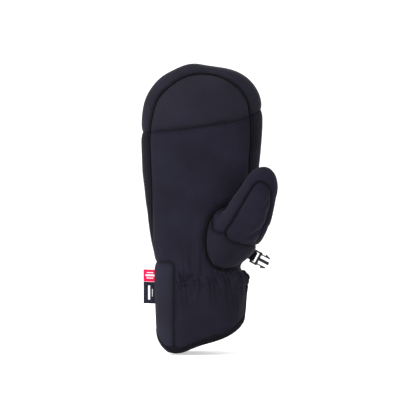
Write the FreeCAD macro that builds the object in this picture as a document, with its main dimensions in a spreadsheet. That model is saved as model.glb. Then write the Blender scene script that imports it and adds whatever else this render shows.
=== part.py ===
import FreeCAD, Part
import math
import os
import Sketcher

# A right-hand insulated ski mitten, standing fingers up with its palm towards -Y and the thumb towards +X.
# Lengths are millimetres and angles degrees. The origin is the middle of the hand opening, level with the
# lowest point of the hem. +Z runs from the hem to the fingertips.
#
# The mitten is a nest of bags. From outside in they are the sewn shell, the wrist elastic, the waterproof
# insert, the insulation and the lining. Every bag is a hand form and a thumb form, both lofted through
# ellipses, and each layer is the same pair of forms set in by the thickness of the layers outside it.

DRIVING = {
    # hand form: height of each station, then its width, depth and sideways shift
    "hem_overrun": 6,
    "cuff_height": 42,
    "cuff_width": 94,
    "cuff_depth": 70,
    "wrist_height": 80,
    "wrist_width": 92,
    "wrist_depth": 61,
    "wrist_shift": -1.5,
    "heel_height": 120,
    "heel_width": 105,
    "heel_depth": 66,
    "palm_height": 175,
    "palm_width": 119,
    "palm_depth": 66,
    "knuckle_height": 235,
    "knuckle_width": 127,
    "knuckle_depth": 58,
    "knuckle_shift": 0.6,
    "mitten_length": 301,
    # thumb form, in its own frame along the thumb from its root
    "thumb_side": 26.5,
    "thumb_forward": 18,
    "thumb_rise": 97.3,
    "thumb_lean_out": 24.8,
    "thumb_lean_forward": 21.5,
    "thumb_overrun": 16,
    "thumb_root_width": 49,
    "thumb_root_depth": 34,
    "thumb_middle": 50,
    "thumb_middle_width": 46,
    "thumb_middle_depth": 33,
    "thumb_pad": 90,
    "thumb_pad_width": 36,
    "thumb_pad_depth": 29,
    "thumb_length": 113,
    "thumb_hinge": 54,
    "thumb_hinge_radius": 20,
    "thumb_hinge_gap": 0.5,
    # layers, from outside in
    "shell_wall": 1.0,
    "elastic_wall": 0.8,
    "insert_wall": 0.4,
    "fill_wall": 4.5,
    "lining_wall": 1.0,
    "layer_gap": 0.2,
    # shell panels
    "palm_left": 52.5,
    "palm_right": 53.6,
    "palm_rise": 56.6,
    "back_inset": 4,
    "piping_size": 2.4,
    "piping_proud": 1.2,
    "tip_seam_height": 239,
    "tip_seam_slope": 7.8,
    "cuff_seam_height": 68,
    "cuff_side_inset": 19,
    "cuff_side_height": 94,
    "gusset_side": 36,
    "gusset_height": 125,
    "gusset_width": 62,
    "gusset_length": 76,
    "gusset_proud": 1.5,
    # hem, binding and slit
    "hem_left_height": -10.5,
    "hem_right_height": 21.5,
    "hem_margin": 4.5,
    "hem_left_radius": 27,
    "hem_right_radius": 30,
    "binding_width": 5.5,
    "binding_wall": 0.8,
    "slit_height": 82,
    "slit_top": 3,
    "slit_bottom": 12,
    "slit_binding": 4,
    "slit_gusset_depth": 3.4,
    "slit_gusset_wall": 0.8,
    "elastic_height": 10,
    # labels folded into the cuff's outer seam
    "label_reach": 13.5,
    "label_root": 2,
    "label_ply": 0.5,
    "label_fold": 0.4,
    "label_low": 50,
    "label_split": 74,
    "label_high": 87.5,
    "label_gap": 0.3,
    # clip: the plug half of a side-release buckle on a webbing tab
    "clip_side": 55,
    "clip_back": 8,
    "clip_rise": 100.5,
    "clip_slope": 27.5,
    "clip_width": 14.6,
    "clip_thickness": 3.4,
    "clip_length": 8.6,
    "clip_bar": 1.3,
    "clip_crossbar": 2.6,
    "clip_rail": 1.8,
    "guide_width": 3.2,
    "guide_length": 11,
    "guide_thickness": 2.4,
    "arm_spacing": 10.8,
    "arm_pivot": 1.1,
    "arm_gap": 0.1,
    "arm_width": 1.2,
    "arm_stem": 4.2,
    "arm_length": 10.2,
    "arm_head": 3.0,
    "arm_thickness": 2.4,
    "webbing_width": 10,
    "webbing_ply": 1.0,
    "webbing_gap": 0.2,
    "webbing_length": 11,
}

doc = FreeCAD.newDocument("ski_mitten")
dims = doc.addObject("Spreadsheet::Sheet", "dims")
for row, (alias, value) in enumerate(DRIVING.items(), start=1):
    dims.set(f"A{row}", alias)
    dims.set(f"B{row}", str(value))
    dims.setAlias(f"B{row}", alias)
doc.recompute()

PARTS = {}  # node name to document object


def size(alias):
    """The value of a cell of the sheet."""
    return float(dims.get(alias))


def bind(obj, **expressions):
    """Bind properties to expressions. A double underscore in a name stands for a dot."""
    for name, text in expressions.items():
        obj.setExpression(name.replace("__", "."), str(text))
    return obj


def node(name, obj):
    """Name a finished object as one piece of the mitten."""
    obj.Label = name
    PARTS[name] = obj
    return obj


# ---------------------------------------------------------------- solids and booleans


def box(name, low, high):
    """A box between two corners, each given as three expressions."""
    made = doc.addObject("Part::Box", name)
    spans = [f"({b}) - ({a})" for a, b in zip(low, high)]
    bind(made, Length=spans[0], Width=spans[1], Height=spans[2])
    return bind(made, Placement__Base__x=low[0], Placement__Base__y=low[1], Placement__Base__z=low[2])


def cut(name, base, tool):
    made = doc.addObject("Part::Cut", name)
    made.Base, made.Tool = base, tool
    return made


def common(name, base, tool):
    made = doc.addObject("Part::Common", name)
    made.Base, made.Tool = base, tool
    return made


def fuse(name, *shapes):
    made = doc.addObject("Part::MultiFuse", name)
    made.Shapes = list(shapes)
    return made


def ellipse(name, width, depth, height, shift="0"):
    """A level ellipse of that width along X and depth along Y."""
    made = doc.addObject("Part::Ellipse", name)
    bind(made, MajorRadius=f"({width}) / 2", MinorRadius=f"({depth}) / 2")
    return bind(made, Placement__Base__x=shift, Placement__Base__z=height)


def loft(name, stations):
    made = doc.addObject("Part::Loft", name)
    made.Sections = [ellipse(f"{name}_{n}", *s) for n, s in enumerate(stations)]
    made.Solid = True
    return made


def prism(name, wire, along):
    """A flat outline, as a wire, swept along a vector."""
    made = doc.addObject("Part::Feature", name)
    made.Shape = Part.Face(wire).extrude(along)
    return made


def rounded_wire(points, radii):
    """A closed wire of straight runs whose corners are tangent arcs. A radius of 0 keeps a corner sharp."""
    ends = []
    edges = []
    count = len(points)
    for n, corner in enumerate(points):
        before = (points[n - 1] - corner).normalize()
        after = (points[(n + 1) % count] - corner).normalize()
        radius = radii[n]
        if not radius:
            ends.append((corner, corner, None))
            continue
        half = before.getAngle(after) / 2
        reach = radius / math.tan(half)
        middle = (before + after).normalize()
        crown = corner + middle * (radius / math.sin(half) - radius)
        ends.append((corner + before * reach, corner + after * reach, crown))
    for n, (start, stop, crown) in enumerate(ends):
        if crown is not None:
            edges.append(Part.Arc(start, crown, stop).toShape())
        edges.append(Part.LineSegment(stop, ends[(n + 1) % count][0]).toShape())
    return Part.Wire(edges)


# ---------------------------------------------------------------- the hand and thumb forms

FAR = 200  # past every side of the mitten
HAND_TIP = (2.6, 2.2)  # the tips are superellipses, this blunt across and through; 2 is an ellipse
THUMB_TIP = (2.3, 2.3)
TIP_STEPS = (0.3, 0.55, 0.75, 0.88, 0.955, 0.99)  # shares of the tip's height that carry a section


def superellipse(share, bluntness):
    """Half width of a superellipse of radius 1 at that share of its height."""
    return (1 - share**bluntness) ** (1 / bluntness)


def evened(stations, steps):
    """Stations with evenly shared ones added between each pair, which keep a loft through them calm."""
    filled = [stations[0]]
    for (before, after), count in zip(zip(stations, stations[1:]), steps):
        for n in range(1, count):
            share = n / count
            filled.append([f"({a}) * {1 - share:.4f} + ({b}) * {share:.4f}" for a, b in zip(before, after)])
        filled.append(after)
    return filled


def domed(width, depth, base, top, shift, bluntness):
    """Sections that close a form with a dome over its last station."""
    sections = []
    for share in TIP_STEPS:
        across = superellipse(share, bluntness[0])
        through = superellipse(share, bluntness[1])
        rise = f"({base}) + (({top}) - ({base})) * {share}"
        sections.append((f"({width}) * {across:.5f}", f"({depth}) * {through:.5f}", rise, shift))
    return sections


def hand_form(name, inset):
    """The hand form with its whole surface set in by an expression."""
    twice = f"2 * ({inset})"

    def station(height, part, shift="0"):
        return (f"dims.{part}_width - {twice}", f"dims.{part}_depth - {twice}", height, shift)

    stations = [
        station("-dims.hem_overrun", "cuff"),
        station("dims.cuff_height", "cuff"),
        station("dims.wrist_height", "wrist", "dims.wrist_shift"),
        station("dims.heel_height", "heel"),
        station("dims.palm_height", "palm"),
        station("dims.knuckle_height", "knuckle", "dims.knuckle_shift"),
    ]
    width, depth, base, shift = stations[-1]
    tip = domed(width, depth, base, f"dims.mitten_length - ({inset})", shift, HAND_TIP)
    return loft(name, evened(stations, (2, 2, 2, 2, 2)) + tip)


THUMB_PLACE = (
    "placement(vector(dims.thumb_side; -dims.thumb_forward; dims.thumb_rise);"
    " rotationy(dims.thumb_lean_out) * rotationx(dims.thumb_lean_forward))"
)


def thumb_form(name, inset):
    """The thumb form with its whole surface set in by an expression."""
    twice = f"2 * ({inset})"

    def station(height, part, share=1):
        return (
            f"dims.thumb_{part}_width * {share} - {twice}",
            f"dims.thumb_{part}_depth * {share} - {twice}",
            height,
            "0",
        )

    stations = [
        station("-dims.thumb_overrun", "root", 0.9),
        station("0", "root"),
        station("dims.thumb_middle", "middle"),
        station("dims.thumb_pad", "pad"),
    ]
    width, depth, base, shift = stations[-1]
    tip = domed(width, depth, base, f"dims.thumb_length - ({inset})", shift, THUMB_TIP)
    return bind(loft(name, evened(stations, (1, 3, 3)) + tip), Placement=THUMB_PLACE)


def thumb_box(name, low, high):
    """A box between two corners given in the thumb's own frame."""
    corner = f"placement(vector({low[0]}; {low[1]}; {low[2]}); rotationy(0))"
    return bind(box(name, low, high), Placement=f"{THUMB_PLACE} * {corner}")


def hinge_tool(name, radius):
    """The thumb's root side of its hinge: a roller across the thumb, and all that lies below its axis."""
    roller = doc.addObject("Part::Cylinder", f"{name}_roller")
    bind(roller, Radius=radius, Height="dims.thumb_root_width * 2")
    bind(
        roller,
        Placement="placement(vector(-dims.thumb_root_width; 0; dims.thumb_hinge); rotationy(90))",
    )
    below = box(
        f"{name}_below",
        ("-dims.thumb_root_width", "-dims.thumb_root_width", "-dims.thumb_rise"),
        ("dims.thumb_root_width", "dims.thumb_root_width", "dims.thumb_hinge"),
    )
    return bind(fuse(name, roller, below), Placement=THUMB_PLACE)


root_side = hinge_tool("root_side", "dims.thumb_hinge_radius")
free_side = hinge_tool("free_side", "dims.thumb_hinge_radius + dims.thumb_hinge_gap")

# Where each layer's outer and inner faces lie below the shell's outer face.
SHELL = ("0", "dims.shell_wall")
ELASTIC = ("dims.shell_wall + dims.layer_gap", "dims.shell_wall + dims.layer_gap + dims.elastic_wall")
INSERT = (f"{ELASTIC[1]} + dims.layer_gap", f"{ELASTIC[1]} + dims.layer_gap + dims.insert_wall")
FILL = (f"{INSERT[1]} + dims.layer_gap", f"{INSERT[1]} + dims.layer_gap + dims.fill_wall")
LINING = (f"{FILL[1]} + dims.layer_gap", f"{FILL[1]} + dims.layer_gap + dims.lining_wall")


def hollow_layer(name, faces):
    """One layer as a hand bag with the thumb's root on it, and the thumb's free end."""
    outer, inner = faces
    hand_out, hand_in = hand_form(f"{name}_hand_out", outer), hand_form(f"{name}_hand_in", inner)
    thumb_out, thumb_in = thumb_form(f"{name}_thumb_out", outer), thumb_form(f"{name}_thumb_in", inner)
    root = common(f"{name}_root", thumb_out, root_side)
    hand = cut(f"{name}_bag", fuse(f"{name}_full", hand_out, root), fuse(f"{name}_void", hand_in, thumb_in))
    thumb = cut(f"{name}_thumb", cut(f"{name}_tube", thumb_out, thumb_in), free_side)
    return hand, thumb


# ---------------------------------------------------------------- hem, binding and slit


def hem_tool(name, lift):
    """All that lies under the hem's slanting line, lifted by a length."""
    side = size("cuff_width") / 2 + size("hem_margin")
    left, right = size("hem_left_height"), size("hem_right_height")
    left_top = left + size("hem_left_radius") * 1.6
    right_top = right + size("hem_right_radius")
    outline = [
        (-FAR, -FAR),
        (FAR, -FAR),
        (FAR, right_top),
        (side, right_top),
        (side, right),
        (-side, left),
        (-side, left_top),
        (-FAR, left_top),
    ]
    radii = [0, 0, 0, 0, size("hem_right_radius"), size("hem_left_radius"), 0, 0]
    points = [FreeCAD.Vector(x, -FAR, z + lift) for x, z in outline]
    return prism(name, rounded_wire(points, radii), FreeCAD.Vector(0, 2 * FAR, 0))


def slit_tool(name, grow):
    """The slit up the thumb side of the cuff, grown by a length on both sides and at its round top."""
    top = size("slit_top") / 2 + grow
    bottom = size("slit_bottom") / 2 + grow
    crown = size("slit_height") + grow
    outline = [(-bottom, -FAR / 10), (bottom, -FAR / 10), (top, crown), (-top, crown)]
    points = [FreeCAD.Vector(0, y, z) for y, z in outline]
    radius = top * 0.9
    return prism(name, rounded_wire(points, [0, 0, radius, radius]), FreeCAD.Vector(FAR, 0, 0))


hem_void = hem_tool("hem_void", 0)
hem_band = hem_tool("hem_band", size("binding_width"))
slit_void = slit_tool("slit_void", 0)
slit_band = slit_tool("slit_band", size("slit_binding"))
INSIDE = f"{LINING[1]} + dims.binding_wall"
binding_ring = cut(
    "binding_ring", hand_form("binding_out", "-dims.binding_wall"), hand_form("binding_in", INSIDE)
)
binding_full = common("binding_full", binding_ring, fuse("bound_edges", hem_band, slit_band))
node("hem_binding", cut("hem_binding", cut("binding_trimmed", binding_full, hem_void), slit_void))

GUSSET = ("dims.slit_gusset_depth", "dims.slit_gusset_depth + dims.slit_gusset_wall")
gusset_wall = cut("gusset_wall", hand_form("gusset_out", GUSSET[0]), hand_form("gusset_in", GUSSET[1]))
node("cuff_slit_gusset", common("cuff_slit_gusset", cut("gusset_hemmed", gusset_wall, hem_void), slit_void))


def trimmed(name, layer):
    """A layer cut back to the inner edges of the hem's and the slit's bindings."""
    return cut(f"{name}_trimmed", cut(f"{name}_hemmed", layer, hem_band), slit_band)


# ---------------------------------------------------------------- shell panels

shell_bag, shell_thumb = hollow_layer("shell", SHELL)
shell = trimmed("shell", shell_bag)

CUFF_SIDE = "-dims.cuff_width / 2 + dims.cuff_side_inset"
side_block = box("side_block", (-FAR, -FAR, -FAR), (CUFF_SIDE, FAR, "dims.cuff_side_height"))
below_front = box("below_front", (-FAR, -FAR, -FAR), (FAR, "0", "dims.cuff_seam_height"))
below_back = box("below_back", (-FAR, "0", -FAR), (FAR, FAR, "dims.cuff_seam_height"))
below = fuse("below", below_front, below_back)

node("cuff_side_panel", common("cuff_side_panel", shell, side_block))
shell_rest = cut("shell_rest", shell, side_block)
node("cuff_palm_panel", common("cuff_palm_panel", shell_rest, below_front))
node("cuff_back_panel", common("cuff_back_panel", shell_rest, below_back))
hand_shell = cut("hand_shell", shell_rest, below)


def panel_outline(name, side, grow):
    """The palm panel's outline, grown by an expression, swept to one side: -1 is the palm and 1 the back."""
    near, far = ("-200", "0") if side < 0 else ("0", "200")
    straight = box(
        f"{name}_straight",
        (f"-dims.palm_left - ({grow})", near, "-200"),
        (f"dims.palm_right + ({grow})", far, "dims.knuckle_height"),
    )
    arch = doc.addObject("Part::Ellipse", f"{name}_arch")
    rise = f"dims.palm_rise + ({grow})"
    bind(arch, MajorRadius=rise, MinorRadius=f"(dims.palm_left + dims.palm_right) / 2 + ({grow})")
    middle = "(dims.palm_right - dims.palm_left) / 2"
    place = f"vector({middle}; {near}; dims.knuckle_height)"
    bind(arch, Placement=f"placement({place}; rotation(vector(1; 1; 1); -120))")
    swept = doc.addObject("Part::Extrusion", f"{name}_swept")
    swept.Base = arch
    swept.Dir = FreeCAD.Vector(0, 1, 0)
    swept.LengthFwd = FAR
    swept.Solid = True
    return fuse(name, straight, swept)


palm_outer = panel_outline("palm_outer", -1, "dims.piping_size / 2")
palm_inner = panel_outline("palm_inner", -1, "-dims.piping_size / 2")
back_outline = panel_outline("back_outline", 1, "dims.back_inset")

gusset_oval = doc.addObject("Part::Ellipse", "gusset_oval")
bind(gusset_oval, MajorRadius="dims.gusset_length / 2", MinorRadius="dims.gusset_width / 2")
gusset_middle = f"vector(dims.gusset_side; -{FAR}; dims.gusset_height)"
bind(gusset_oval, Placement=f"placement({gusset_middle}; rotation(vector(1; 1; 1); -120))")
gusset_prism = doc.addObject("Part::Extrusion", "gusset_prism")
gusset_prism.Base = gusset_oval
gusset_prism.Dir = FreeCAD.Vector(0, 1, 0)
gusset_prism.LengthFwd = FAR
gusset_prism.Solid = True
gusset_form = thumb_box(
    "gusset_form",
    ("-dims.thumb_root_width / 2 - dims.gusset_proud", "-dims.thumb_root_width", "-dims.thumb_overrun"),
    (
        "dims.thumb_root_width / 2 + dims.gusset_proud",
        "dims.thumb_root_depth / 2 + dims.gusset_proud",
        "dims.thumb_pad",
    ),
)
gusset_zone = fuse("gusset_zone", gusset_prism, gusset_form)

above_tip_seam = box("above_tip_seam", (-FAR, -FAR, 0), (FAR, FAR, FAR))
bind(
    above_tip_seam,
    Placement=(
        f"placement(vector(0; 0; dims.tip_seam_height); rotationy(-dims.tip_seam_slope))"
        f" * placement(vector(-{FAR}; -{FAR}; 0); rotationy(0))"
    ),
)
left_half = box("left_half", (-FAR, -FAR, -FAR), (0, FAR, 2 * FAR))

node("thumb_gusset", common("thumb_gusset", hand_shell, gusset_zone))
panels = cut("panels", cut("panels_grown", hand_shell, gusset_form), gusset_prism)
palm_area = common("palm_area", panels, palm_inner)
node("fingertip_patch", common("fingertip_patch", palm_area, above_tip_seam))
node("palm_panel", cut("palm_panel", palm_area, above_tip_seam))
node("back_panel", common("back_panel", panels, back_outline))
rim = cut("rim", panels, fuse("both_outlines", palm_outer, back_outline))
node("finger_cap", common("finger_cap", rim, above_tip_seam))
sidewalls = cut("sidewalls", rim, above_tip_seam)
node("pinky_sidewall", common("pinky_sidewall", sidewalls, left_half))
node("index_sidewall", cut("index_sidewall", sidewalls, left_half))

piping_wall = cut(
    "piping_wall", hand_form("piping_out", "-dims.piping_proud"), hand_form("piping_in", "dims.shell_wall")
)
piping_band = common("piping_band", piping_wall, cut("piping_strip", palm_outer, palm_inner))
piping_above = cut("piping_above", cut("piping_high", piping_band, below), side_block)
piping_open = cut("piping_open", piping_above, gusset_form)
node("palm_piping", cut("palm_piping", piping_open, gusset_prism))

# The thumb's shell is a pad panel towards -Y and a back panel that wraps the tip and the far side.
thumb_front = thumb_box(
    "thumb_front",
    ("-dims.thumb_root_width * 0.22", "-dims.thumb_root_width", "-dims.thumb_rise"),
    ("dims.thumb_root_width", "0", "dims.thumb_pad"),
)
node("thumb_pad_panel", common("thumb_pad_panel", shell_thumb, thumb_front))
node("thumb_back_panel", cut("thumb_back_panel", shell_thumb, thumb_front))

# ---------------------------------------------------------------- layers inside the shell

elastic_ring = cut("elastic_ring", hand_form("elastic_out", ELASTIC[0]), hand_form("elastic_in", ELASTIC[1]))
elastic_zone = box(
    "elastic_zone",
    (-FAR, -FAR, "dims.wrist_height - dims.elastic_height / 2"),
    (FAR, FAR, "dims.wrist_height + dims.elastic_height / 2"),
)
elastic_band = common("elastic_band", elastic_ring, elastic_zone)
thumb_bore = thumb_form("thumb_bore", SHELL[1])
node("wrist_elastic", cut("wrist_elastic", cut("elastic_open", elastic_band, slit_band), thumb_bore))

insert_bag, insert_thumb = hollow_layer("insert", INSERT)
node("waterproof_insert", trimmed("waterproof_insert", insert_bag))
node("insert_thumb", insert_thumb)

front_half = box("front_half", (-FAR, -FAR, -FAR), (FAR, "0", 2 * FAR))
fill_bag, fill_thumb = hollow_layer("fill", FILL)
fill = trimmed("fill", fill_bag)
node("insulation_palm", common("insulation_palm", fill, front_half))
node("insulation_back", cut("insulation_back", fill, front_half))
node("insulation_thumb", fill_thumb)

lining_bag, lining_thumb = hollow_layer("lining", LINING)
lining = trimmed("lining", lining_bag)
node("lining_palm", common("lining_palm", lining, front_half))
node("lining_back", cut("lining_back", lining, front_half))
node("lining_thumb", lining_thumb)

# ---------------------------------------------------------------- sketched pieces


def body(name, placement):
    made = doc.addObject("PartDesign::Body", name)
    return bind(made, Placement=placement)


def sketch(owner, name, plane="XY_Plane"):
    made = owner.newObject("Sketcher::SketchObject", name)
    origin = [f for f in owner.Origin.OriginFeatures if f.Role == plane][0]
    made.AttachmentSupport = [(origin, "")]
    made.MapMode = "FlatFace"
    return made


def rectangle(owner, name, low, high, plane="XY_Plane"):
    """A sketched rectangle between two corners, each given as two expressions bound to its constraints."""
    made = sketch(owner, name, plane)
    corners = [FreeCAD.Vector(x, y, 0) for x, y in ((0, 0), (1, 0), (1, 1), (0, 1))]
    for n in range(4):
        made.addGeometry(Part.LineSegment(corners[n], corners[(n + 1) % 4]))
    for n in range(4):
        made.addConstraint(Sketcher.Constraint("Coincident", n, 2, (n + 1) % 4, 1))
    for n in (0, 2):
        made.addConstraint(Sketcher.Constraint("Horizontal", n))
        made.addConstraint(Sketcher.Constraint("Vertical", n + 1))
    first = made.ConstraintCount
    for corner, value in ((0, 0.0), (2, 1.0)):
        for kind in ("DistanceX", "DistanceY"):
            made.addConstraint(Sketcher.Constraint(kind, -1, 1, corner, 1, value))
    for n, expression in enumerate((*low, *high)):
        made.setExpression(f"Constraints[{first + n}]", str(expression))
    return made


def outline(owner, name, points, plane="XY_Plane"):
    """A sketched outline of straight runs through points worked out from the sheet."""
    made = sketch(owner, name, plane)
    corners = [FreeCAD.Vector(x, y, 0) for x, y in points]
    for n, corner in enumerate(corners):
        made.addGeometry(Part.LineSegment(corner, corners[(n + 1) % len(corners)]))
    for n in range(len(corners)):
        made.addConstraint(Sketcher.Constraint("Coincident", n, 2, (n + 1) % len(corners), 1))
        made.addConstraint(Sketcher.Constraint("Block", n))
    return made


def circle(owner, name, x, y, radius, plane="XY_Plane"):
    """A sketched circle whose middle and radius are expressions bound to its constraints."""
    made = sketch(owner, name, plane)
    made.addGeometry(Part.Circle(FreeCAD.Vector(0, 0, 0), FreeCAD.Vector(0, 0, 1), 1))
    made.addConstraint(Sketcher.Constraint("DistanceX", -1, 1, 0, 3, 0))
    made.addConstraint(Sketcher.Constraint("DistanceY", -1, 1, 0, 3, 0))
    made.addConstraint(Sketcher.Constraint("Radius", 0, 1))
    for n, expression in enumerate((x, y, radius)):
        made.setExpression(f"Constraints[{n}]", str(expression))
    return made


def pad(owner, name, profile, length):
    """A pad to both sides of its sketch."""
    made = owner.newObject("PartDesign::Pad", name)
    made.Profile = profile
    made.Midplane = True
    bind(made, Length=length)
    owner.Tip = made
    return made


def pocket(owner, name, profile):
    """A pocket through everything, to both sides of its sketch."""
    made = owner.newObject("PartDesign::Pocket", name)
    made.Profile = profile
    made.Type = "ThroughAll"
    made.Midplane = True
    owner.Tip = made
    return made


# Labels: two woven strips, each folded in half with its ends in the seam at the cuff's outer edge.
LABEL_SIDE = "-dims.cuff_width / 2"
label_seat = hand_form("label_seat", "0")


def folded_label(name, low, high):
    """A strip folded in half, standing out towards -X, between two heights."""
    thick = f"2 * {size('label_ply')} + {size('label_fold')}"
    strip = body(name, f"placement(vector({LABEL_SIDE}; 0; ({low} + {high}) / 2); rotationy(0))")
    plan = rectangle(
        strip, f"{name}_plan", ("-dims.label_reach", f"-({thick}) / 2"), ("dims.label_root", f"({thick}) / 2")
    )
    pad(strip, f"{name}_strip", plan, f"({high}) - ({low})")
    gap = rectangle(
        strip,
        f"{name}_gap",
        ("-dims.label_reach + dims.label_ply", "-dims.label_fold / 2"),
        ("dims.label_root * 2", "dims.label_fold / 2"),
    )
    pocket(strip, f"{name}_fold", gap)
    return node(name, cut(f"{name}_sewn", strip, label_seat))


folded_label("label_red", "dims.label_split + dims.label_gap", "dims.label_high")
folded_label("label_dark", "dims.label_low", "dims.label_split")

# Clip: its own frame has X along the clip from the bar to the prongs, Y across it and Z through it.
CLIP_PLACE = (
    "placement(vector(dims.clip_side; dims.clip_back; dims.clip_rise);"
    " rotationy(dims.clip_slope) * rotationx(90))"
)
FRAME_FRONT = "(dims.clip_length - dims.clip_bar)"

frame = body("clip_frame", CLIP_PLACE)
plate = rectangle(
    frame, "frame_plate", ("-dims.clip_bar", "-dims.clip_width / 2"), (FRAME_FRONT, "dims.clip_width / 2")
)
pad(frame, "frame_pad", plate, "dims.clip_thickness")
window = rectangle(
    frame,
    "frame_window",
    ("dims.clip_bar", "-dims.clip_width / 2 + dims.clip_rail"),
    (f"{FRAME_FRONT} - dims.clip_crossbar", "dims.clip_width / 2 - dims.clip_rail"),
)
pocket(frame, "frame_slot", window)
tongue = rectangle(
    frame,
    "guide_plan",
    (f"{FRAME_FRONT} - dims.clip_crossbar / 2", "-dims.guide_width / 2"),
    (f"{FRAME_FRONT} + dims.guide_length", "dims.guide_width / 2"),
)
pad(frame, "guide_pad", tongue, "dims.guide_thickness")
for side, word in ((1, "upper"), (-1, "lower")):
    seat = circle(
        frame,
        f"{word}_seat",
        FRAME_FRONT,
        f"{side} * dims.arm_spacing / 2",
        "dims.arm_pivot + dims.arm_gap",
    )
    pocket(frame, f"{word}_recess", seat)
node("clip_frame", frame)


def latch_arm(name, side):
    """A prong that springs in towards the guide: a round root, a thin stem and an arrow head."""
    arm = body(name, CLIP_PLACE)
    start = size("clip_length") - size("clip_bar")
    middle = side * size("arm_spacing") / 2
    half = size("arm_width") / 2
    stem, tip = start + size("arm_stem"), start + size("arm_length")
    barb = middle + side * (size("arm_head") - half)
    points = [
        (start, middle - half),
        (tip - half, middle - half),
        (tip, middle),
        (tip - half, middle + side * half),
        (stem + half, barb),
        (stem, barb - side * half),
        (stem, middle + side * half),
        (start, middle + side * half),
    ]
    if side < 0:
        points[0], points[1] = (start, middle + half), (tip - half, middle + half)
    pad(arm, f"{name}_pad", outline(arm, f"{name}_plan", points), "dims.arm_thickness")
    root = circle(arm, f"{name}_root", FRAME_FRONT, f"{side} * dims.arm_spacing / 2", "dims.arm_pivot")
    pad(arm, f"{name}_knuckle", root, "dims.arm_thickness")
    return node(name, arm)


latch_arm("latch_arm_upper", 1)
latch_arm("latch_arm_lower", -1)

# Webbing: a strap folded round the clip's bar and sewn shut behind it, drawn from the side.
webbing = body("clip_webbing", CLIP_PLACE)
eye = "sqrt(dims.clip_bar ^ 2 + (dims.clip_thickness / 2) ^ 2) + dims.webbing_gap"
tab = rectangle(
    webbing,
    "webbing_tab",
    ("-dims.webbing_length", "-dims.webbing_ply"),
    ("0", "dims.webbing_ply"),
    "XZ_Plane",
)
pad(webbing, "webbing_strap", tab, "dims.webbing_width")
loop = circle(webbing, "webbing_loop", "0", "0", f"{eye} + dims.webbing_ply", "XZ_Plane")
pad(webbing, "webbing_bend", loop, "dims.webbing_width")
bore = circle(webbing, "webbing_bore", "0", "0", eye, "XZ_Plane")
pocket(webbing, "webbing_eye", bore)
node("clip_webbing", cut("webbing_sewn", webbing, hand_form("webbing_seat", "0")))

# ---------------------------------------------------------------- checks and export

doc.recompute()
failed = [o.Name for o in doc.Objects if "Invalid" in o.State or "Error" in o.State]
if failed:
    raise SystemExit(f"failed objects: {failed}")

os.makedirs("parts", exist_ok=True)
for name, piece in PARTS.items():
    shape = piece.Shape
    if shape.isNull() or not shape.isValid() or not shape.Solids:
        raise SystemExit(f"{name} is not a valid solid")
    if min(s.Volume for s in shape.Solids) <= 0:
        raise SystemExit(f"{name} has an inside-out solid")
for name, piece in PARTS.items():
    piece.Shape.exportStep(os.path.join("parts", f"{name}.step"))
    span = piece.Shape.BoundBox
    print(f"{name}: {len(piece.Shape.Solids)} solids, {piece.Shape.Volume:.0f} mm3, {span}")
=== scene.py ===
import math

import bpy
import numpy as np
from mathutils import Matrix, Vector
from mathutils.kdtree import KDTree


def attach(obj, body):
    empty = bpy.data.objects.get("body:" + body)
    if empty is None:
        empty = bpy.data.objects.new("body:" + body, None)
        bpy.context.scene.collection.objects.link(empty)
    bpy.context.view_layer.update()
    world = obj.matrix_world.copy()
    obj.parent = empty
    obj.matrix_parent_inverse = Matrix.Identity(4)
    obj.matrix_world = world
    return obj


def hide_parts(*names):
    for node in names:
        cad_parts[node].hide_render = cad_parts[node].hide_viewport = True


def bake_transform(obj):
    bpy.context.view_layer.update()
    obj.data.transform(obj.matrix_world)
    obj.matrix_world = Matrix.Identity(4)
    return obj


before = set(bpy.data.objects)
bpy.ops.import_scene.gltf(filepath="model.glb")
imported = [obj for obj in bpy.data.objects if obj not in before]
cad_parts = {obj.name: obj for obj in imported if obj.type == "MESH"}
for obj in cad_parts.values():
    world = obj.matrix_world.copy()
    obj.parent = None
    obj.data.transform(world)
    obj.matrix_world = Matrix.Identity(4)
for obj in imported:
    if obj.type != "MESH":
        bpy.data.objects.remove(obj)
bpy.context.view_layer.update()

# Every length below is in millimetres until mesh_object() turns it into metres. The mitten stands fingers
# up: +X is the thumb side, -Y the palm side and +Z runs from the hem to the fingertips.
MM = 0.001

# -------------------- curves and noise


def hermite(s, start, leave, end, arrive):
    """A cubic from start to end with the slopes leave and arrive, at the share s of the way."""
    return (
        (2 * s**3 - 3 * s**2 + 1) * start
        + (s**3 - 2 * s**2 + s) * leave
        + (-2 * s**3 + 3 * s**2) * end
        + (s**3 - s**2) * arrive
    )


def spline(knots, values):
    """A smooth function through given values, with Catmull-Rom slopes and flat ends."""
    x = np.array(knots, float)
    y = np.array(values, float)
    slope = np.gradient(y, x)

    def at(q):
        q = np.clip(np.asarray(q, float), x[0], x[-1])
        i = np.clip(np.searchsorted(x, q) - 1, 0, len(x) - 2)
        step = x[i + 1] - x[i]
        return hermite((q - x[i]) / step, y[i], step * slope[i], y[i + 1], step * slope[i + 1])

    return at


def smooth_path(points, per_span=12, closed=False):
    """Points along a Catmull-Rom curve through given points."""
    p = np.array(points, float)
    count = len(p)
    out = []
    spans = count if closed else count - 1
    for i in range(spans):
        if closed:
            a, b, c, d = (p[(i + k) % count] for k in (-1, 0, 1, 2))
        else:
            a, b, c, d = p[max(i - 1, 0)], p[i], p[i + 1], p[min(i + 2, count - 1)]
        for s in np.linspace(0, 1, per_span, endpoint=False):
            bend, twist = 2 * a - 5 * b + 4 * c - d, 3 * b - a - 3 * c + d
            out.append(0.5 * (2 * b + (c - a) * s + bend * s**2 + twist * s**3))
    if not closed:
        out.append(p[-1])
    return np.array(out)


NOISE = np.random.default_rng(11).uniform(-1, 1, (32, 32, 32))


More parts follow.
